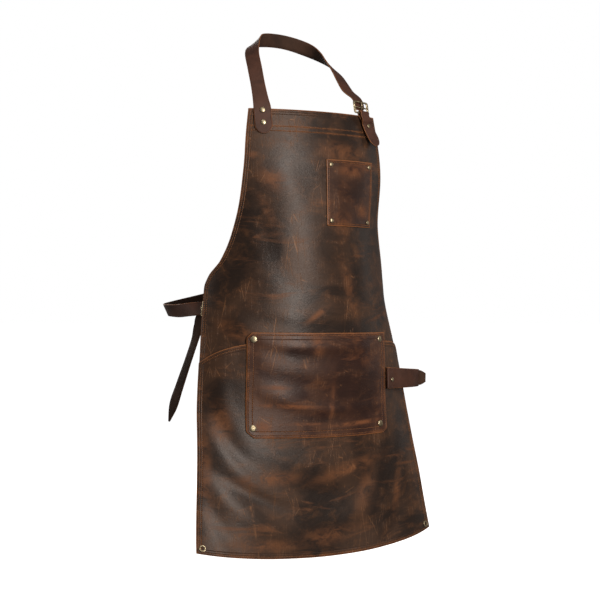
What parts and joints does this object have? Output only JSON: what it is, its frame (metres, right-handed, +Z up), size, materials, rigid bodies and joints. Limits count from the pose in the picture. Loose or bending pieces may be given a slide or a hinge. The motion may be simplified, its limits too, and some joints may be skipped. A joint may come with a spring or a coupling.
{
  "type": "blacksmith apron",
  "caption": "Leather bib work apron in its worn form, with lap panel, patch pockets, tool loop, riveted neck strap and buckled waist belt.",
  "frame": {"origin": "middle of the neck strap's inner face, where it bears on the back of the wearer's neck", "axes": "+Z up, -Y the way the wearer faces, +X to the wearer's left"},
  "size_m": [0.533, 0.3269, 1.0293],
  "materials": {
    "hide_leather": "distressed pull-up leather with worn orange-brown edges",
    "strap_leather": "smooth reddish brown strap leather",
    "old_brass": "dull antique brass"
  },
  "bodies": {
    "root": {"apron_body": "hide_leather", "lap_panel": "hide_leather", "front_pocket": "hide_leather", "chest_pocket": "hide_leather", "neck_strap": "strap_leather", "neck_buckle_tab": "strap_leather", "neck_buckle_frame": "old_brass", "neck_buckle_prong": "old_brass", "waist_belt": "strap_leather", "waist_buckle_tab": "strap_leather", "waist_buckle_frame": "old_brass", "waist_buckle_prong": "old_brass", "tool_loop": "strap_leather", "strap_rivet_upper": "old_brass", "strap_rivet_lower": "old_brass", "tab_rivet": "old_brass", "front_pocket_rivet_upper_right": "old_brass", "front_pocket_rivet_upper_left": "old_brass", "front_pocket_rivet_lower_right": "old_brass", "front_pocket_rivet_lower_left": "old_brass", "chest_pocket_rivet_upper_right": "old_brass", "chest_pocket_rivet_upper_left": "old_brass", "chest_pocket_rivet_lower_right": "old_brass", "chest_pocket_rivet_lower_left": "old_brass", "loop_rivet": "old_brass", "eyelet_right": "old_brass", "eyelet_left": "old_brass"}
  },
  "joints": []
}
